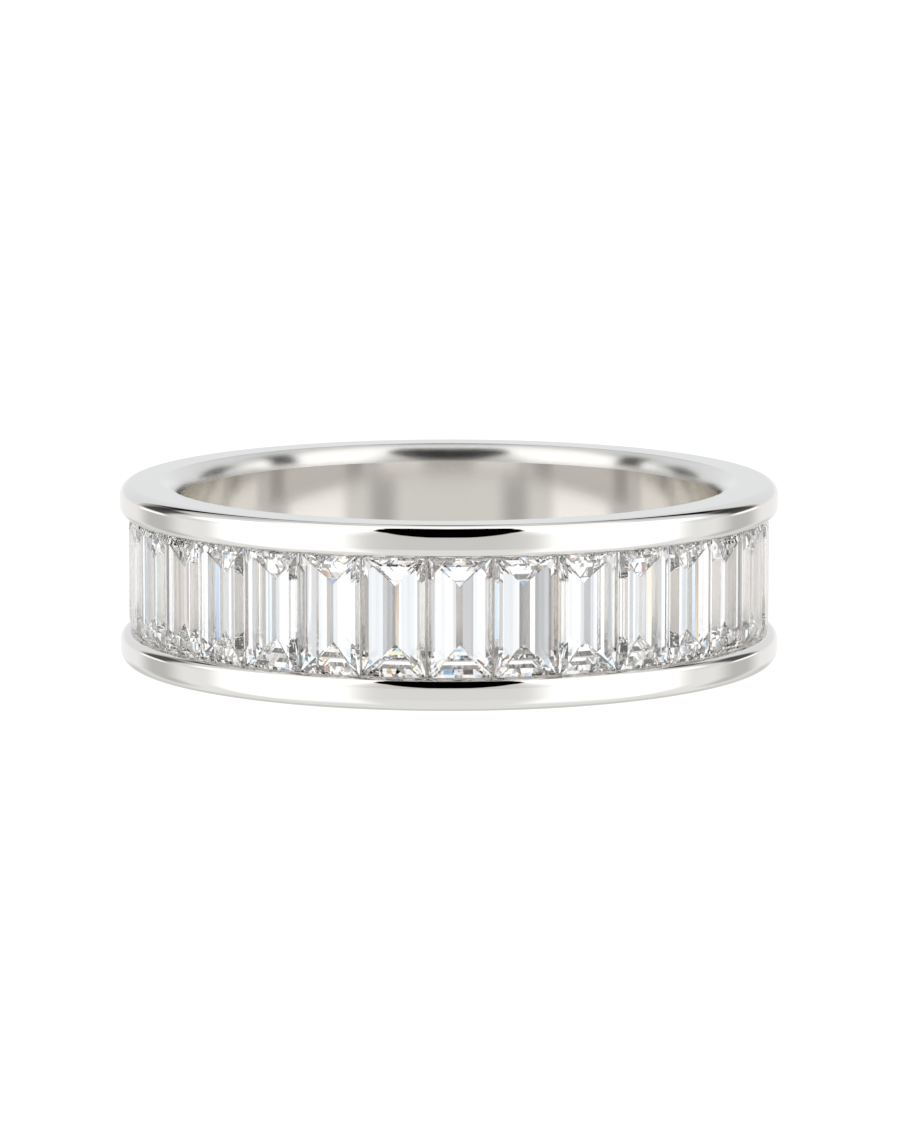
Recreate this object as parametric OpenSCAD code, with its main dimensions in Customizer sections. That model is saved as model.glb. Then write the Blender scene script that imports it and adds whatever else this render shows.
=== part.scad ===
// Channel set wedding band: a plain metal band with step cut stones set edge to edge all round.
// Millimetres. The ring lies on its side: its axis is +Z, and it rests on the plane z = 0.
// The front of the ring looks along -Y.

/* [Band] */
// Diameter of the finger bore
bore_d = 16.5; // [15:0.1:20]
// Thickness of the band, from the bore to the rim of the rails
wall = 1.75; // [1.75:0.05:2.1]
// Width of the band, from edge to edge
band_w = 5.46; // [5.2:0.02:6.5]
// Rounding of the two outer edges
rim_r = 0.36; // [0.1:0.02:0.4]
// Rounding of the two edges of the bore, which makes the band easy to wear
bore_edge_r = 0.52; // [0.3:0.02:0.6]

/* [Channel] */
// Height of each rail, from the side face to the stones
rail_h = 0.97; // [0.8:0.01:1.1]
// Rounding of each rail's edge beside the stones
lip_r = 0.28; // [0.1:0.02:0.34]
// Metal left between the bore and the floor of the channel
floor_t = 0.3; // [0.26:0.01:0.31]
// How far the ends of the stones reach into the grooves of the rails
tuck = 0.05; // [0.04:0.01:0.06]

/* [Stones] */
// Number of stones round the band
stone_count = 31; // [28:1:36]
// Turn of the first stone from the front, anticlockwise from above
first_turn = 1.9; // [-6:0.1:6]
// Depth of the stones' tables below the rim of the rails
table_drop = 0.3; // [0.29:0.01:0.31]
// Space between one stone's girdle and the next
stone_gap = 0.08; // [0.04:0.01:0.15]
// Length of the keel along the bottom of each stone
keel_l = 1.7; // [1.5:0.05:1.9]
// Height of the girdle, the upright band at the widest place
girdle_t = 0.04; // [0.02:0.01:0.05]

/* [Hidden] */
// Space left between a stone and the metal
seat_gap = 0.02;
// Reach of a cutting shape past the face that it cuts
over = 0.5;
// Steps that a rounding's circle and the turn of the band are drawn in
round_steps = 64;
ring_steps = 180;

// Crown, from the girdle up to the table: how far the long sides and the ends stand in from the
// girdle, the cut across each corner, and the height above the girdle
SIDE_IN = 0;
END_IN = 1;
CORNER = 2;
HEIGHT = 3;
crown_steps = [[0, 0, 0.08, 0], [0.1, 0.14, 0.1, 0.09], [0.21, 0.31, 0.14, 0.17]];

// Pavilion, from the girdle down to the keel: share of the way in to the keel, and the depth
// below the girdle
SHARE = 0;
DEPTH = 1;
pavilion_steps = [[0, 0], [0.495, 0.493], [0.796, 0.754], [1, 0.902]];

bore_r = bore_d / 2;
outer_r = bore_r + wall;
floor_r = bore_r + floor_t;
channel_w = band_w - 2 * rail_h;

// Distances from the axis of the ring to the levels of a stone
table_r = outer_r - table_drop;
girdle_top_r = table_r - crown_steps[len(crown_steps) - 1][HEIGHT];
girdle_low_r = girdle_top_r - girdle_t;

pitch = 360 / stone_count;
half_w = girdle_top_r * tan(pitch / 2) - stone_gap / 2;
half_l = channel_w / 2 + tuck;
half_keel = keel_l / 2;
corner_cut = crown_steps[0][CORNER];

// Slopes of the ends' first steps, which the walls of the grooves follow
crown_slope = crown_steps[1][HEIGHT] / crown_steps[1][END_IN];
pavilion_slope = pavilion_steps[1][DEPTH] / (pavilion_steps[1][SHARE] * (half_l - half_keel));

// The groove's upper wall clears the corners of the flat stones, which lie furthest from the axis
groove_d = tuck + seat_gap;
lip_low_r = norm([girdle_top_r + tuck * crown_slope, half_w - corner_cut + tuck]) + seat_gap;
groove_top_r = lip_low_r - groove_d * crown_slope;
groove_low_r = girdle_low_r - seat_gap;
ledge_r = groove_low_r - groove_d * pavilion_slope;

function two_digits(i) = i < 10 ? str("0", i) : str(i);
function stone_name(i) = str("stone_", two_digits(i));

// Rectangle of half width w and half length l at height z, with its corners cut by c: eight points
function outline(w, l, c, z) =
    [[w, c - l, z], [w, l - c, z], [w - c, l, z], [c - w, l, z],
     [-w, l - c, z], [-w, c - l, z], [c - w, -l, z], [w - c, -l, z]];

function crown_outline(s) =
    outline(half_w - s[SIDE_IN], half_l - s[END_IN], s[CORNER], s[HEIGHT]);

function pavilion_outline(s) =
    let (left = 1 - s[SHARE])
    outline(half_w * left, half_keel + (half_l - half_keel) * left, corner_cut * left,
        -girdle_t - s[DEPTH]);

// What is cut from a square corner at the origin, with the metal on the -X -Y side, to round it
module corner_waste(r) {
    difference() {
        translate([-r, -r]) square(r + over);
        translate([-r, -r]) circle(r, $fn = round_steps);
    }
}

// The groove in the lower rail's wall that takes the ends of the stones
module groove_waste() {
    polygon([
        [lip_low_r, rail_h + over],
        [lip_low_r, rail_h],
        [groove_top_r, rail_h - groove_d],
        [groove_low_r, rail_h - groove_d],
        [ledge_r, rail_h],
        [ledge_r, rail_h + over]
    ]);
}

// What is drawn for the lower rail, and its mirror image for the upper rail
module both_rails() {
    children();
    translate([0, band_w]) mirror([0, 1]) children();
}

// The band's section, right of the axis
module section() {
    difference() {
        translate([bore_r, 0]) square([wall, band_w]);
        translate([floor_r, rail_h]) square([wall, channel_w]);
        both_rails() {
            translate([outer_r, 0]) mirror([0, 1]) corner_waste(rim_r);
            translate([bore_r, 0]) rotate(180) corner_waste(bore_edge_r);
            translate([outer_r, rail_h]) corner_waste(lip_r);
            groove_waste();
        }
    }
}

module band() {
    color("silver") rotate_extrude($fn = ring_steps) section();
}

// A step cut stone with its table up, its girdle's top at z = 0 and its long side along Y
module step_cut() {
    levels = concat(
        [for (i = [len(pavilion_steps) - 2:-1:0]) pavilion_outline(pavilion_steps[i])],
        [for (s = crown_steps) crown_outline(s)]
    );
    keel_z = -girdle_t - pavilion_steps[len(pavilion_steps) - 1][DEPTH];
    keel = [[0, half_keel, keel_z], [0, -half_keel, keel_z]];
    points = concat(keel, [for (level = levels) each level]);
    rings = len(levels);
    function at(ring, i) = 2 + 8 * ring + i % 8;
    polyhedron(points, concat(
        [[at(0, 1), at(0, 0), 1, 0], [at(0, 5), at(0, 4), 0, 1]],
        [[at(0, 3), at(0, 2), 0], [at(0, 7), at(0, 6), 1]],
        [[at(0, 2), at(0, 1), 0], [at(0, 4), at(0, 3), 0]],
        [[at(0, 6), at(0, 5), 1], [at(0, 8), at(0, 7), 1]],
        [for (ring = [0:rings - 2]) for (i = [0:7])
            [at(ring, i), at(ring, i + 1), at(ring + 1, i + 1), at(ring + 1, i)]],
        [[for (i = [0:7]) at(rings - 1, i)]]
    ));
}

// One stone in its place: its width runs round the band, and its table looks outward
module stone(i) {
    color("aliceblue")
    rotate(first_turn - 90 + (i - 1) * pitch)
    translate([girdle_top_r, 0, band_w / 2])
    rotate([90, 0, 90]) step_cut();
}

band();
for (i = [1:stone_count]) stone(i);
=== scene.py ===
"""Channel set wedding band: the finish of its metal and stones, in a small white photo studio.

Everything is in metres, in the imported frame: the ring's axis is +Z, it rests on z = 0, and its front
looks along -Y. Sizes of the ring are given in millimetres and turned into metres where meshes are made.
"""
import logging
import math
from dataclasses import dataclass, field
from enum import Enum

import bpy
import numpy as np
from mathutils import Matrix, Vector


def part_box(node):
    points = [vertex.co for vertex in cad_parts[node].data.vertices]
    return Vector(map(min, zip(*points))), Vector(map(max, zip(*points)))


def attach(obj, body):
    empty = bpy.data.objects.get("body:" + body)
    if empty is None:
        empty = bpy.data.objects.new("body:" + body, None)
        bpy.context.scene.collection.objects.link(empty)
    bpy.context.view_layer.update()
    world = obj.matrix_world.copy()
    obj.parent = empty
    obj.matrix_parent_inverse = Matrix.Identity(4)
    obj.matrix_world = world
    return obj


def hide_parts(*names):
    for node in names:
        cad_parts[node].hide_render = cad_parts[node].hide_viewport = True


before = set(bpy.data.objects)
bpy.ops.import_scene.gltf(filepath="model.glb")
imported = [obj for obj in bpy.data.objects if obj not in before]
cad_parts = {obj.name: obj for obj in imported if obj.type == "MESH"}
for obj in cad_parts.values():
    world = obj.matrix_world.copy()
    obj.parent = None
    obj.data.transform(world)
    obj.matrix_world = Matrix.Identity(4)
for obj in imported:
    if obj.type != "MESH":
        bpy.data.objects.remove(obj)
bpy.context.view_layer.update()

# A millimetre in metres
MM = 0.001
log = logging.getLogger("wedding_band")

Point2 = tuple[float, float]
Triple = tuple[float, float, float]
Colour = tuple[float, float, float, float]
Tree = bpy.types.NodeTree
Socket = bpy.types.NodeSocket
Material = bpy.types.Material

# What a smooth step gives before and after it
RISING: Point2 = (0.0, 1.0)
FALLING: Point2 = (1.0, 0.0)

# Degrees of height straight up, and of bearing straight behind
ZENITH = 90.0
BEHIND = 180.0

# Degrees past the front, the back and the zenith, for a side of a light card that isn't to show
FRONT = -20.0
BACK = 200.0
TOP = 95.0

# How high the camera looks from, in degrees
VIEW_RISE = 8.5


class Zone(Enum):
    """Where on the band a surface lies, which settles its finish."""

    RAIL = 0
    BORE = 1
    CHANNEL = 2
    EDGE = 3


class Rise(Enum):
    """How a light card's height is measured, in degrees."""

    ELEVATION = 0
    OVER_TOP = 1


class NodeBench:
    """Short calls that add and join the nodes of one tree."""

    # Where a Mix node of colours keeps its factor and its two colours, and where its result
    MIX_INPUTS = (0, 6, 7)
    MIX_OUTPUT = 2

    def __init__(self, tree: Tree) -> None:
        """Work on the node tree of a material, a world or a group."""
        self.tree = tree

    def add(self, kind: str, **settings: object) -> bpy.types.Node:
        """Add a node and set its properties.

        Args:
            kind: Blender's name for the type of node.
            **settings: Properties of the node and their values.

        Returns:
            The new node.
        """
        node = self.tree.nodes.new(kind)
        for name, value in settings.items():
            setattr(node, name, value)
        return node

    def feed(self, socket: Socket, value: object) -> None:
        """Give a socket its value, or link another socket to it.

        Args:
            socket: The input to feed.
            value: A number, a tuple or an output socket.
        """
        if isinstance(value, bpy.types.NodeSocket):
            self.tree.links.new(value, socket)
        else:
            socket.default_value = value

    def math(self, operation: str, *values: object) -> Socket:
        """Add a Math node.

        Args:
            operation: Blender's name for the sum that it does.
            *values: Its inputs, as numbers or sockets.

        Returns:
            The result.
        """
        node = self.add("ShaderNodeMath", operation=operation)
        for socket, value in zip(node.inputs, values):
            self.feed(socket, value)
        return node.outputs[0]

    def ramp(self, value: Socket, low: float, high: float, to: Point2 = RISING) -> Socket:
        """Add a smooth step.

        Args:
            value: The number to read.
            low: Where the step starts.
            high: Where it ends.
            to: What it gives before and after the step.

        Returns:
            The stepped number.
        """
        node = self.add("ShaderNodeMapRange", interpolation_type="SMOOTHSTEP")
        for name, item in zip(("Value", "From Min", "From Max", "To Min", "To Max"),
                              (value, low, high, *to)):
            self.feed(node.inputs[name], item)
        return node.outputs["Result"]

    def curve(self, height: Socket, points: tuple[Point2, ...]) -> Socket:
        """Read a bearing off a curve of straight pieces.

        Args:
            height: Where it is read, in degrees from 0 to the zenith.
            points: Its points, each as a height and a bearing in degrees.

        Returns:
            The bearing at that height.
        """
        node = self.add("ShaderNodeFloatCurve")
        line = node.mapping.curves[0]
        places = [(x / ZENITH, y / BEHIND) for x, y in points]
        line.points[0].location, line.points[-1].location = places[0], places[-1]
        for x, y in places[1:-1]:
            line.points.new(x, y)
        for point in line.points:
            point.handle_type = "VECTOR"
        node.mapping.update()
        self.feed(node.inputs["Value"], self.math("DIVIDE", height, ZENITH))
        return self.math("MULTIPLY", node.outputs[0], BEHIND)

    def mix(self, share: Socket, first: object, second: object) -> Socket:
        """Mix two colours.

        Args:
            share: How much of the second one is taken, from 0 to 1.
            first: The first colour, as four numbers or a socket.
            second: The second colour.

        Returns:
            The mixed colour.
        """
        node = self.add("ShaderNodeMix", data_type="RGBA")
        for place, value in zip(self.MIX_INPUTS, (share, first, second)):
            self.feed(node.inputs[place], value)
        return node.outputs[self.MIX_OUTPUT]


def empty_material(name: str) -> tuple[Material, NodeBench]:
    """Make a material that has no nodes yet.

    Args:
        name: The material's name.

    Returns:
        The material, and a bench to add its nodes on.
    """
    material = bpy.data.materials.new(name)
    material.use_nodes = True
    material.node_tree.nodes.clear()
    return material, NodeBench(material.node_tree)


def put_in_scene(name: str, data: bpy.types.ID) -> bpy.types.Object:
    """Make an object and link it to the scene.

    Args:
        name: The object's name.
        data: Its mesh or camera data.

    Returns:
        The object.
    """
    thing = bpy.data.objects.new(name, data)
    bpy.context.scene.collection.objects.link(thing)
    return thing


@dataclass(frozen=True)
class LightCard:
    """A soft edged patch of the studio's light: a softbox, or a dark card if its light is low.

    Bearings are degrees from the front, alike on both sides. Heights are degrees above the horizon, or
    over the top: 0 in front, 90 overhead and 180 at the back. A flare gives the outer bearing at some
    heights above the horizon, instead of one bearing for all. Warmth is the share by which red is raised
    and blue is lowered.
    """

    name: str
    light: float
    bearing: Point2 = (FRONT, BACK)
    height: Point2 = (-BACK, BACK)
    bearing_edge: float = 4.0
    height_edge: float = 4.0
    rise: Rise = Rise.ELEVATION
    flare: tuple[Point2, ...] = ()
    warmth: float = 0.0

    def mask(self, bench: NodeBench, bearing: Socket, heights: dict[Rise, Socket]) -> Socket:
        """Build the card's mask.

        Args:
            bench: Where the nodes are added.
            bearing: Degrees from the front.
            heights: Degrees of height, by how they are measured.

        Returns:
            1 on the card and 0 off it.
        """
        near, far = self.bearing
        side = self.bearing_edge / 2
        if self.flare:
            beyond = bench.math("SUBTRACT", bearing, bench.curve(heights[Rise.ELEVATION], self.flare))
            outer = bench.ramp(beyond, -side, side, FALLING)
        else:
            outer = bench.ramp(bearing, far - side, far + side, FALLING)
        across = bench.math("MULTIPLY", bench.ramp(bearing, near - side, near + side), outer)
        low, high = self.height
        end = self.height_edge / 2
        height = heights[self.rise]
        upright = bench.math("MULTIPLY", bench.ramp(height, low - end, low + end),
                             bench.ramp(height, high - end, high + end, FALLING))
        return bench.math("MULTIPLY", across, upright)

    def colour(self) -> Colour:
        """Give the card's light as a colour."""
        return (self.light * (1 + self.warmth), self.light, self.light * (1 - self.warmth), 1.0)


@dataclass(frozen=True)
class LightPlan:
    """One arrangement of the studio: its backdrop, and cards laid over it in order."""

    backdrop: float
    cards: tuple[LightCard, ...]

    def light(self, bench: NodeBench, bearing: Socket, heights: dict[Rise, Socket]) -> Socket:
        """Build the light that comes from each direction.

        Args:
            bench: Where the nodes are added.
            bearing: Degrees from the front.
            heights: Degrees of height, by how they are measured.

        Returns:
            The light.
        """
        light: Colour | Socket = (self.backdrop, self.backdrop, self.backdrop, 1.0)
        for card in self.cards:
            light = bench.mix(card.mask(bench, bearing, heights), light, card.colour())
            light.node.label = card.name
        return light


# What the metal mirrors, and the outer faces of the stones
METAL_PLAN = LightPlan(0.91, (
    LightCard("behind_low", 0.97, bearing=(90, BACK), height=(-45, 3), bearing_edge=20, height_edge=8),
    LightCard("table_behind", 0.7, bearing=(142, BACK), height=(-70, -14), bearing_edge=24, height_edge=8),
    LightCard("behind", 0.86, bearing=(95, BACK), height=(3, 60), bearing_edge=20, height_edge=8,
              warmth=-0.02),
    LightCard("behind_high", 1.25, bearing=(95, BACK), height=(58, TOP), bearing_edge=10, height_edge=10),
    LightCard("side_box", 1.4, bearing=(30, 89), height=(-50, TOP), bearing_edge=14, height_edge=34),
    LightCard("side_top", 1.4, bearing=(84, 106), height=(18, 60), bearing_edge=6, height_edge=12),
    LightCard("side_dip", 0.6, bearing=(112, 134), height=(-34, 5), bearing_edge=16, height_edge=16),
    LightCard("front_pale", 0.91, bearing=(FRONT, 28), height=(-60, 10), bearing_edge=30, height_edge=30),
    LightCard("front_grey", 0.71, bearing=(FRONT, 28), height=(-9.2, 60), bearing_edge=30, height_edge=2.4,
              warmth=0.01),
    LightCard("back_line", 0.6, bearing=(128, 170), height=(118, 132), bearing_edge=8, height_edge=6,
              rise=Rise.OVER_TOP),
    LightCard("back_slit", 0.2, bearing=(177.5, BACK), height=(135, 162), bearing_edge=4, height_edge=8,
              rise=Rise.OVER_TOP),
    LightCard("back_dark", 0.1, bearing=(115, 136), height=(5, 32), bearing_edge=9, height_edge=10),
    LightCard("side_spark", 1.25, bearing=(116, 136), height=(-3, 5), bearing_edge=8, height_edge=3,
              warmth=0.03),
    LightCard("front_black", 0.0, height=(3, TOP), bearing_edge=2.5, height_edge=2.5,
              flare=((0, 5), (4, 8), (10, 12), (20, 17), (30, 21), (38, 24), (48, 31), (55, 36), (65, 43),
                     (75, 60), (83, 112), (90, 112))),
))

# Heights that only the long facets of the stones look at, and how soft a card ends there
LOW_HEIGHTS: Point2 = (-15.0, -3.0)
LOW_EDGE = 3.0

# Warmth of the pale strips and of the dark ones, and the light that parts them
PALE_WARMTH = -0.035
DARK_WARMTH = 0.04
PALE_LIGHT = 0.35

# Warmth of the dark cards that the ends of the stones mirror
CARD_WARMTH = 0.05


def low_strip(name: str, light: float, bearing: Point2, edge: float = 1.0) -> LightCard:
    """Make a narrow upright strip of light, low in the studio, where only the stones' long facets look.

    Pale strips are a little cool, and dark ones a little warm.

    Args:
        name: The strip's name.
        light: Its light.
        bearing: Its two sides, in degrees from the front.
        edge: How soft its sides are, in degrees.

    Returns:
        The strip.
    """
    warmth = PALE_WARMTH if light > PALE_LIGHT else DARK_WARMTH
    return LightCard(name, light, bearing=bearing, height=LOW_HEIGHTS, bearing_edge=edge,
                     height_edge=LOW_EDGE, warmth=warmth)


def dark_card(name: str, light: float, bearing: Point2, height: Point2, edge: float = 2.0,
              height_edge: float = 6.0) -> LightCard:
    """Make a dark card, a little warm, which the stones' ends mirror.

    Args:
        name: The card's name.
        light: Its light.
        bearing: Its two sides, in degrees from the front.
        height: Its lower and upper edge, in degrees.
        edge: How soft its sides are, in degrees.
        height_edge: How soft its lower and upper edge are, in degrees.

    Returns:
        The card.
    """
    return LightCard(name, light, bearing=bearing, height=height, bearing_edge=edge,
                     height_edge=height_edge, warmth=CARD_WARMTH)


# What shows through the stones
STONE_PLAN = LightPlan(1.18, (
    dark_card("below_1", 0.4, (6.5, 12), (-60, -9), height_edge=4),
    dark_card("below_2", 0.25, (27, 31), (-60, -9), height_edge=4),
    dark_card("below_3", 0.7, (31, 46), (-60, -9), height_edge=4),
    dark_card("below_4", 0.35, (55, 61), (-60, -9), height_edge=4),
    dark_card("below_5", 0.12, (14, 28), (-44, -24), height_edge=4),
    dark_card("above_1", 0.15, (26, 46), (14, 27)),
    dark_card("above_2", 0.3, (46, 60), (32, 42)),
    dark_card("above_3", 0.25, (FRONT, 20), (33, 42)),
    dark_card("above_4", 0.3, (7, 12), (-9, 60)),
    dark_card("above_5", 0.06, (FRONT, 34), (56, 66), edge=3),
    dark_card("above_6", 0.5, (60, 74), (-9, 60), edge=3),
    LightCard("low_white", 1.15, height=LOW_HEIGHTS, height_edge=LOW_EDGE),
    low_strip("strip_front", 0.97, (FRONT, 3.0), 0.5),
    low_strip("strip_0", 0.4, (0.66, 0.82), 0.06),
    low_strip("strip_1", 0.42, (6.6, 9.9), 0.5),
    low_strip("strip_2", 0.3, (16.2, 17.8), 0.5),
    low_strip("strip_3", 0.5, (18.3, 18.8), 0.05),
    low_strip("strip_pale", 0.97, (18.8, 19.1), 0.05),
    low_strip("strip_4", 0.5, (19.87, 20.4), 0.06),
    low_strip("strip_5", 0.5, (20.99, 21.5), 0.06),
    low_strip("strip_6", 0.7, (24.9, 26.5)),
    low_strip("strip_7", 0.42, (29.3, 31.6)),
    low_strip("strip_8", 0.6, (34.5, 37.5)),
    low_strip("strip_9", 0.15, (39.0, 43.0)),
    low_strip("strip_10", 0.8, (47.0, 49.2)),
    low_strip("strip_11", 0.5, (49.2, 50.7)),
    low_strip("strip_12", 0.5, (56.5, 59.0)),
    low_strip("strip_13", 0.35, (60.3, 63.0)),
    low_strip("strip_14", 0.3, (65.5, 68.3)),
    low_strip("strip_15", 0.75, (70.0, 75.5)),
    low_strip("strip_16", 0.25, (79.5, 84.5)),
    low_strip("strip_17", 0.4, (89.5, 92.0)),
    low_strip("strip_18", 0.6, (96.0, 104.0)),
))

# Name of the flags' attribute that says how dense their net is, from 0 to 1
COVER = "cover"


@dataclass(frozen=True)
class Flag:
    """A narrow flag of black net that stands close by the ring, out of the picture, as studios use.

    It is bent so that it lies along one stretch of the inner edge's reflection, from low to high. Side
    is -1 on the left and 1 on the right. Azimuths are degrees round the ring from the back, and the
    sweep is in degrees over the top. The edge's radius and height say where it mirrors the flag, and
    the reach how far from there the flag stands, all in millimetres. Fade is the share of the net,
    from each side, over which it grows dense.
    """

    name: str
    side: int
    azimuth: Point2
    sweep: Point2 = (0.0, 110.0)
    reach: float = 24.0
    edge_radius: float = 8.4
    edge_height: float = 5.2
    rows: int = 24
    columns: int = 8
    fade: float = 0.3

    def corner(self, azimuth: float, turn: float) -> Vector:
        """Place one corner of the flag's mesh, where the inner edge mirrors it to the camera.

        Args:
            azimuth: Degrees round the ring from the back.
            turn: Degrees over the top.

        Returns:
            The corner.
        """
        around, over = math.radians(azimuth), math.radians(turn)
        along = Vector((-self.side * math.cos(around), math.sin(around), 0.0))
        inward = Vector((-self.side * math.sin(around), -math.cos(around), 0.0))
        up = Vector((0.0, 0.0, 1.0))
        # A mirror keeps the share of the view that runs along the edge
        share = math.cos(math.radians(VIEW_RISE)) * math.sin(around)
        way = along * share + (inward * math.cos(over) + up * math.sin(over)) * math.sqrt(1 - share ** 2)
        foot = inward * -self.edge_radius + up * self.edge_height
        return (foot + way * self.reach) * MM

    def density(self, along: float, across: float) -> float:
        """Give the net's density at these shares of its length and width, from 0 at its border to 1."""
        border = min(along, 1 - along, across, 1 - across)
        return min(1.0, border / self.fade)

    def build(self, material: Material) -> None:
        """Make the flag. The camera and the stones don't see it.

        Args:
            material: What it is made of.
        """
        stride = self.columns + 1
        places = [(along, across) for along in np.linspace(0, 1, self.rows + 1)
                  for across in np.linspace(0, 1, stride)]
        (first, last), (low, high) = self.azimuth, self.sweep
        corners = [self.corner(first + (last - first) * across, low + (high - low) * along)
                   for along, across in places]
        starts = [row * stride + column for row in range(self.rows) for column in range(self.columns)]
        faces = [(at, at + 1, at + stride + 1, at + stride) for at in starts]
        mesh = bpy.data.meshes.new(self.name)
        mesh.from_pydata(corners, [], faces)
        cover = mesh.attributes.new(COVER, "FLOAT", "POINT")
        cover.data.foreach_set("value", [self.density(along, across) for along, across in places])
        mesh.materials.append(material)
        flag = put_in_scene(self.name, mesh)
        flag.visible_camera = False
        flag.visible_transmission = False
        flag.visible_diffuse = False


@dataclass
class Studio:
    """A white cyclorama with softboxes and a dark front, flags, and a plain pale floor.

    Fire is how far the light that shows through the stones is shifted for red, green and blue, in
    degrees of height. Side fire shifts its bearing as well, and sets in between the two bearings of
    side start. The floor's radius is in metres.
    """

    metal: LightPlan = METAL_PLAN
    stone: LightPlan = STONE_PLAN
    fire: Triple = (1.0, 0.0, -1.1)
    side_fire: Triple = (0.2, 0.0, -0.24)
    side_start: Point2 = (22.0, 28.0)
    flags: tuple[Flag, ...] = (
        Flag("flag_left", -1, (32.8, 42.7)),
        Flag("flag_right", 1, (36.8, 46.7)),
    )
    floor_light: float = 1.06
    floor_radius: float = 1.2
    floor_sides: int = 64

    def directions(self, bench: NodeBench) -> tuple[Socket, dict[Rise, Socket]]:
        """Measure where light comes from, in degrees.

        Args:
            bench: Where the nodes are added.

        Returns:
            Its bearing from the front, alike on both sides, and its heights, by how they are measured.
        """
        parts = bench.add("ShaderNodeSeparateXYZ")
        bench.feed(parts.inputs[0], bench.add("ShaderNodeTexCoord").outputs["Generated"])
        x, y, z = parts.outputs
        fore = bench.math("MULTIPLY", y, -1.0)
        bearing = bench.math("ARCTAN2", bench.math("ABSOLUTE", x), fore)
        heights = {
            Rise.ELEVATION: bench.math("ARCSINE", z),
            Rise.OVER_TOP: bench.math("ARCTAN2", z, fore),
        }
        to_degrees = math.degrees(1)
        return (bench.math("MULTIPLY", bearing, to_degrees),
                {rise: bench.math("MULTIPLY", height, to_degrees) for rise, height in heights.items()})

    def light_in_stones(self, bench: NodeBench, bearing: Socket, heights: dict[Rise, Socket]) -> Socket:
        """Build what shows through the stones: each colour comes from a slightly other place.

        Args:
            bench: Where the nodes are added.
            bearing: Degrees from the front.
            heights: Degrees of height, by how they are measured.

        Returns:
            The light.
        """
        light = bench.add("ShaderNodeCombineColor")
        sideways = bench.ramp(bearing, *self.side_start)
        for part, (shift, side_shift) in enumerate(zip(self.fire, self.side_fire)):
            moved = {rise: bench.math("ADD", height, shift) for rise, height in heights.items()}
            turned = bench.math("MULTIPLY_ADD", sideways, side_shift, bearing)
            split = bench.add("ShaderNodeSeparateColor")
            bench.feed(split.inputs[0], self.stone.light(bench, turned, moved))
            bench.feed(light.inputs[part], split.outputs[part])
        return light.outputs[0]

    def light_world(self) -> None:
        """Build the world, which the metal mirrors in one plan and the stones show in another."""
        world = bpy.data.worlds.new("studio_light")
        bpy.context.scene.world = world
        world.use_nodes = True
        world.node_tree.nodes.clear()
        bench = NodeBench(world.node_tree)
        bearing, heights = self.directions(bench)
        through_stone = bench.add("ShaderNodeLightPath").outputs["Is Transmission Ray"]
        light = bench.mix(through_stone, self.metal.light(bench, bearing, heights),
                          self.light_in_stones(bench, bearing, heights))
        glow = bench.add("ShaderNodeBackground")
        bench.feed(glow.inputs["Color"], light)
        out = bench.add("ShaderNodeOutputWorld")
        bench.feed(out.inputs["Surface"], glow.outputs[0])

    def lay_floor(self) -> None:
        """Make the plain pale floor, lit from below as a light table is."""
        mesh = bpy.data.meshes.new("floor")
        turns = [math.tau * i / self.floor_sides for i in range(self.floor_sides)]
        rim = [(self.floor_radius * math.cos(turn), self.floor_radius * math.sin(turn), 0.0)
               for turn in turns]
        mesh.from_pydata(rim, [], [list(range(self.floor_sides))])
        mesh.materials.append(self.light_table())
        floor = put_in_scene("floor", mesh)
        floor.visible_glossy = False
        floor.visible_transmission = False
        floor.visible_diffuse = False

    def light_table(self) -> Material:
        """Make the floor's even light.

        Returns:
            The material.
        """
        material, bench = empty_material("light_table")
        light = bench.add("ShaderNodeEmission")
        light.inputs["Strength"].default_value = self.floor_light
        out = bench.add("ShaderNodeOutputMaterial")
        bench.feed(out.inputs["Surface"], light.outputs[0])
        return material

    def black_net(self) -> Material:
        """Make the flags' black net, which is see-through towards its border.

        Returns:
            The material.
        """
        material, bench = empty_material("black_net")
        cover = bench.add("ShaderNodeAttribute", attribute_name=COVER)
        clear = bench.add("ShaderNodeBsdfTransparent")
        black = bench.add("ShaderNodeEmission")
        black.inputs["Strength"].default_value = 0.0
        net = bench.add("ShaderNodeMixShader")
        share = bench.ramp(cover.outputs["Fac"], 0.0, 1.0)
        for socket, value in zip(net.inputs, (share, clear.outputs[0], black.outputs[0])):
            bench.feed(socket, value)
        out = bench.add("ShaderNodeOutputMaterial")
        bench.feed(out.inputs["Surface"], net.outputs[0])
        return material

    def build(self) -> None:
        """Light the studio, lay its floor and stand its flags."""
        self.light_world()
        self.lay_floor()
        net = self.black_net()
        for flag in self.flags:
            flag.build(net)


@dataclass
class Camera:
    """The camera at the photograph's viewing angle.

    It stands level with the direction from the ring's centre and aims a little past it, as the
    photograph is framed. Lengths are in millimetres, and the clipping distances in metres.
    """

    elevation: float = VIEW_RISE
    distance: float = 200.0
    centre: Triple = (0.0, 0.0, 2.725)
    aim: Triple = (0.03, 0.0, 2.93)
    frame_height_px: float = 1125.0
    px_per_mm: float = 32.83
    sensor: float = 36.0
    clip: Point2 = (0.01, 10.0)

    def build(self) -> None:
        """Make the camera and set it as the scene's."""
        data = bpy.data.cameras.new("camera")
        data.sensor_width = self.sensor
        data.lens = self.px_per_mm * self.distance * self.sensor / self.frame_height_px
        data.clip_start, data.clip_end = self.clip
        camera = put_in_scene("camera", data)
        tilt = math.radians(self.elevation)
        place = Vector(self.centre) + Vector((0.0, -math.cos(tilt), math.sin(tilt))) * self.distance
        camera.location = place * MM
        camera.rotation_euler = (Vector(self.aim) - place).to_track_quat("-Z", "Y").to_euler()
        bpy.context.scene.camera = camera


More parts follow.
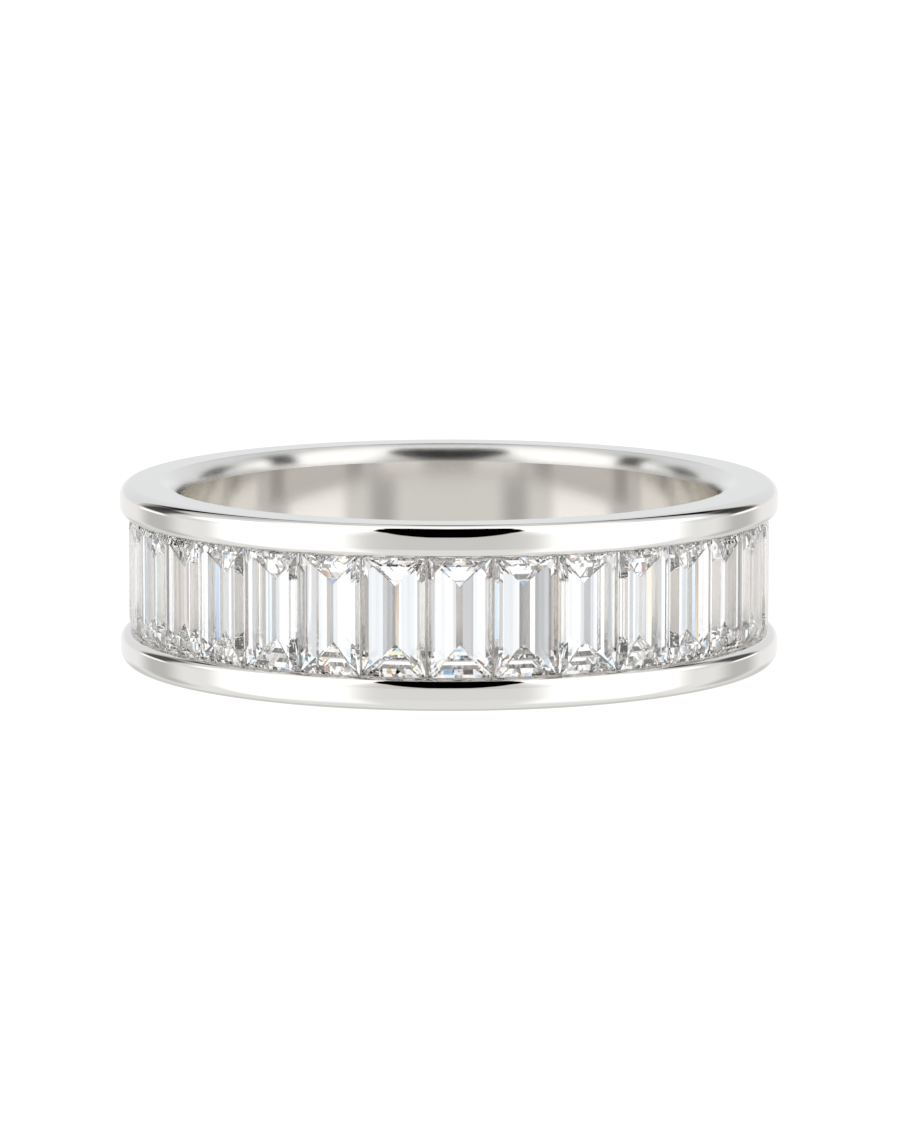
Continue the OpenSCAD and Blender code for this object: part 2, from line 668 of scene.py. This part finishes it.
@dataclass(frozen=True)
class MicroPolish:
    """The faint waves and hairlines that polishing leaves on metal, as noise."""

    wave_size: float = 900.0
    wave_detail: float = 1.0
    hairline_size: float = 6000.0
    hairline_detail: float = 3.0
    hairline_stretch: Triple = (1.0, 1.0, 12.0)
    hairline_share: float = 0.3

    def group(self) -> Tree:
        """Build the node group.

        Returns:
            The group. It gives a height, and a share that varies over the surface.
        """
        tree = bpy.data.node_groups.new("micro_polish", "ShaderNodeTree")
        for name, value in (("Wave Size", self.wave_size), ("Hairline Size", self.hairline_size),
                            ("Hairline Share", self.hairline_share)):
            socket = tree.interface.new_socket(name, in_out="INPUT", socket_type="NodeSocketFloat")
            socket.default_value = value
        for name in ("Height", "Variation"):
            tree.interface.new_socket(name, in_out="OUTPUT", socket_type="NodeSocketFloat")
        bench = NodeBench(tree)
        given = bench.add("NodeGroupInput")
        place = bench.add("ShaderNodeTexCoord").outputs["Object"]
        wave = bench.add("ShaderNodeTexNoise")
        bench.feed(wave.inputs["Vector"], place)
        bench.feed(wave.inputs["Scale"], given.outputs["Wave Size"])
        bench.feed(wave.inputs["Detail"], self.wave_detail)
        stretch = bench.add("ShaderNodeMapping")
        bench.feed(stretch.inputs["Vector"], place)
        bench.feed(stretch.inputs["Scale"], self.hairline_stretch)
        line = bench.add("ShaderNodeTexNoise")
        bench.feed(line.inputs["Vector"], stretch.outputs[0])
        bench.feed(line.inputs["Scale"], given.outputs["Hairline Size"])
        bench.feed(line.inputs["Detail"], self.hairline_detail)
        height = bench.math("MULTIPLY_ADD", line.outputs[0], given.outputs["Hairline Share"],
                            wave.outputs[0])
        result = bench.add("NodeGroupOutput")
        bench.feed(result.inputs["Height"], height)
        bench.feed(result.inputs["Variation"], line.outputs[0])
        return tree


@dataclass(frozen=True)
class MetalFinish:
    """A polish of the white metal.

    Roughness runs between two values over the marks' variation. Bump is the marks' depth in
    millimetres. Anisotropy blurs what the metal mirrors along the ring, which softens the inner edge.
    """

    name: str
    colour: Triple
    roughness: Point2
    bump: float
    hairline_share: float = 0.3
    anisotropy: float = 0.0
    anisotropy_turn: float = 0.25
    variation: Point2 = (0.3, 0.7)

    def material(self, polish: Tree) -> Material:
        """Build the material.

        Args:
            polish: The node group of polishing marks.

        Returns:
            The material.
        """
        material = bpy.data.materials.new(self.name)
        material.use_nodes = True
        bench = NodeBench(material.node_tree)
        shader = material.node_tree.nodes["Principled BSDF"]
        shader.inputs["Metallic"].default_value = 1.0
        shader.inputs["Base Color"].default_value = (*self.colour, 1.0)
        marks = bench.add("ShaderNodeGroup")
        marks.node_tree = polish
        marks.inputs["Hairline Share"].default_value = self.hairline_share
        bench.feed(shader.inputs["Roughness"],
                   bench.ramp(marks.outputs["Variation"], *self.variation, self.roughness))
        bump = bench.add("ShaderNodeBump")
        bump.inputs["Distance"].default_value = self.bump * MM
        bench.feed(bump.inputs["Height"], marks.outputs["Height"])
        bench.feed(shader.inputs["Normal"], bump.outputs[0])
        if self.anisotropy:
            shader.inputs["Anisotropic"].default_value = self.anisotropy
            shader.inputs["Anisotropic Rotation"].default_value = self.anisotropy_turn
            round_ring = bench.add("ShaderNodeTangent", direction_type="RADIAL", axis="Z")
            bench.feed(shader.inputs["Tangent"], round_ring.outputs[0])
        return material


@dataclass(frozen=True)
class StoneFinish:
    """Clear, highly refractive stone with polished facets."""

    name: str = "clear_stone"
    refraction: float = 2.42

    def material(self) -> Material:
        """Build the material.

        Returns:
            The material.
        """
        material = bpy.data.materials.new(self.name)
        material.use_nodes = True
        shader = material.node_tree.nodes["Principled BSDF"]
        shader.inputs["Base Color"].default_value = (1.0, 1.0, 1.0, 1.0)
        shader.inputs["Roughness"].default_value = 0.0
        shader.inputs["IOR"].default_value = self.refraction
        shader.inputs["Transmission Weight"].default_value = 1.0
        return material


# Reflected colour of the white metal, and the finish of each zone of the band
WHITE_METAL: Triple = (0.80, 0.785, 0.76)
BAND_FINISHES = {
    Zone.RAIL: MetalFinish("rail_polish", WHITE_METAL, (0.015, 0.03), 0.0004),
    Zone.BORE: MetalFinish("bore_polish", WHITE_METAL, (0.06, 0.08), 0.0003, 0.2),
    Zone.CHANNEL: MetalFinish("channel_matt", (0.985, 0.962, 0.93), (0.4, 0.5), 0.001, 0.6),
    Zone.EDGE: MetalFinish("edge_polish", WHITE_METAL, (0.22, 0.26), 0.0003, 0.2, anisotropy=1.0),
}


@dataclass(frozen=True)
class Stretch:
    """A smooth stretch of the band's section: its points, as radius and height, and their normals."""

    points: list[Point2]
    normals: list[Point2]
    zone: Zone

    def over(self, width: float) -> "Stretch":
        """Mirror it across the middle of a band of that width, keeping the metal on its left."""
        return Stretch([(r, width - z) for r, z in reversed(self.points)],
                       [(r, -z) for r, z in reversed(self.normals)], self.zone)


@dataclass
class Band:
    """The band: bore wall, channel floor, two rails and their grooves, as one revolved piece.

    Lengths are in millimetres. Each rail's wall has a groove for the ends of the stones, between the
    lip's low radius and the ledge's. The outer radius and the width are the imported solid's own.
    """

    node: str = "band"
    bore_radius: float = 8.25
    rim_round: float = 0.36
    bore_round: float = 0.52
    lip_round: float = 0.28
    rail_height: float = 0.97
    floor_thickness: float = 0.3
    lip_low_radius: float = 9.624
    groove_depth: float = 0.07
    groove_top_radius: float = 9.579
    groove_low_radius: float = 9.47
    ledge_radius: float = 9.397
    turns: int = 720
    arc_steps: int = 14
    outer_radius: float = field(init=False)
    width: float = field(init=False)

    def __post_init__(self) -> None:
        """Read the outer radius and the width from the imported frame."""
        low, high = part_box(self.node)
        self.outer_radius = (high.x - low.x) / 2 / MM
        self.width = (high.z - low.z) / MM

    def line(self, start: Point2, end: Point2, zone: Zone) -> Stretch:
        """Draw a straight stretch, with the metal on its left.

        Args:
            start: Its first point, as radius and height.
            end: Its last point.
            zone: Where it lies.

        Returns:
            The stretch.
        """
        run, rise = end[0] - start[0], end[1] - start[1]
        length = math.hypot(run, rise)
        normal = (rise / length, -run / length)
        return Stretch([start, end], [normal, normal], zone)

    def arc(self, centre: Point2, radius: float, first: float, zone: Zone) -> Stretch:
        """Draw a quarter round, turning anticlockwise.

        Args:
            centre: The centre of the rounding, as radius and height.
            radius: How large the rounding is.
            first: The direction of its first point from the centre, in degrees.
            zone: Where it lies.

        Returns:
            The stretch.
        """
        turns = [math.radians(first + 90 * i / self.arc_steps) for i in range(self.arc_steps + 1)]
        normals = [(math.cos(t), math.sin(t)) for t in turns]
        points = [(centre[0] + radius * c, centre[1] + radius * s) for c, s in normals]
        return Stretch(points, normals, zone)

    def section(self) -> list[Stretch]:
        """Draw the band's section as a closed loop, from the middle of the bore.

        Returns:
            Its stretches in order, with the metal on their left.
        """
        bore, rim, middle = self.bore_radius, self.outer_radius, self.width / 2
        edge, corner, lip = self.bore_round, self.rim_round, self.lip_round
        rail, floor = self.rail_height, self.bore_radius + self.floor_thickness
        groove = rail - self.groove_depth
        lower = [
            self.line((bore, middle), (bore, edge), Zone.BORE),
            self.arc((bore + edge, edge), edge, 180, Zone.EDGE),
            self.line((bore + edge, 0.0), (rim - corner, 0.0), Zone.RAIL),
            self.arc((rim - corner, corner), corner, -90, Zone.RAIL),
            self.line((rim, corner), (rim, rail - lip), Zone.RAIL),
            self.arc((rim - lip, rail - lip), lip, 0, Zone.RAIL),
            self.line((rim - lip, rail), (self.lip_low_radius, rail), Zone.CHANNEL),
            self.line((self.lip_low_radius, rail), (self.groove_top_radius, groove), Zone.CHANNEL),
            self.line((self.groove_top_radius, groove), (self.groove_low_radius, groove), Zone.CHANNEL),
            self.line((self.groove_low_radius, groove), (self.ledge_radius, rail), Zone.CHANNEL),
            self.line((self.ledge_radius, rail), (floor, rail), Zone.CHANNEL),
            self.line((floor, rail), (floor, middle), Zone.CHANNEL),
        ]
        return lower + [stretch.over(self.width) for stretch in reversed(lower)]

    def mesh(self) -> bpy.types.Mesh:
        """Revolve the section, with exact normals.

        Returns:
            The mesh.
        """
        profile: list[Point2] = []
        edges: list[tuple[int, Point2, Point2, Zone]] = []
        for stretch in self.section():
            for i in range(len(stretch.points) - 1):
                edges.append((len(profile), stretch.normals[i], stretch.normals[i + 1], stretch.zone))
                profile.append(stretch.points[i])
        count = len(profile)
        spin = np.arange(self.turns) * math.tau / self.turns
        cos, sin = np.cos(spin), np.sin(spin)
        radius, height = np.array(profile).T
        corners = np.empty((self.turns, count, 3))
        corners[..., 0] = np.outer(cos, radius)
        corners[..., 1] = np.outer(sin, radius)
        corners[..., 2] = height
        faces, normals, zones = [], [], []
        for here in range(self.turns):
            there = (here + 1) % self.turns
            for a, first, last, zone in edges:
                b = (a + 1) % count
                faces.append((here * count + a, there * count + a, there * count + b, here * count + b))
                for turn, (out, up) in ((here, first), (there, first), (there, last), (here, last)):
                    normals.append((out * cos[turn], out * sin[turn], up))
                zones.append(zone.value)
        mesh = bpy.data.meshes.new("band_metal")
        mesh.from_pydata((corners.reshape(-1, 3) * MM).tolist(), [], faces)
        mesh.polygons.foreach_set("material_index", zones)
        mesh.polygons.foreach_set("use_smooth", [True] * len(faces))
        mesh.update()
        mesh.normals_split_custom_set(normals)
        return mesh

    def build(self, polish: Tree) -> bpy.types.Object:
        """Make the band, dress it and put it in the place of the plain solid.

        Args:
            polish: The node group of polishing marks.

        Returns:
            The band.
        """
        mesh = self.mesh()
        for zone in Zone:
            mesh.materials.append(BAND_FINISHES[zone].material(polish))
        band = put_in_scene("band_metal", mesh)
        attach(band, "root")
        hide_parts(self.node)
        return band


@dataclass
class StoneRow:
    """The row of step cut stones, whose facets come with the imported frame."""

    prefix: str = "stone_"

    def build(self, finish: StoneFinish) -> list[bpy.types.Object]:
        """Dress each stone.

        Args:
            finish: The stones' finish.

        Returns:
            The stones.
        """
        material = finish.material()
        stones = [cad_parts[name] for name in sorted(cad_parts) if name.startswith(self.prefix)]
        for stone in stones:
            stone.data.materials.clear()
            stone.data.materials.append(material)
        return stones


@dataclass(frozen=True)
class RenderSetup:
    """How light is carried and shown, so that the stones stay crisp and white stays white."""

    stone_bounces: int = 32
    metal_bounces: int = 16

    def apply(self) -> None:
        """Set the scene's values."""
        scene = bpy.context.scene
        scene.view_settings.view_transform = "Standard"
        scene.cycles.max_bounces = self.stone_bounces
        scene.cycles.transmission_bounces = self.stone_bounces
        scene.cycles.glossy_bounces = self.metal_bounces
        scene.cycles.blur_glossy = 0.0
        scene.cycles.sample_clamp_indirect = 0.0
        scene.cycles.use_denoising = True


def main() -> None:
    """Build the ring and its studio in order."""
    logging.basicConfig(level=logging.INFO, format="%(name)s %(message)s")
    RenderSetup().apply()
    Camera().build()
    Studio().build()
    band = Band().build(MicroPolish().group())
    stones = StoneRow().build(StoneFinish())
    for piece in (band, *stones):
        log.info("%s: %d faces", piece.name, len(piece.data.polygons))


if __name__ == "__main__":
    main()
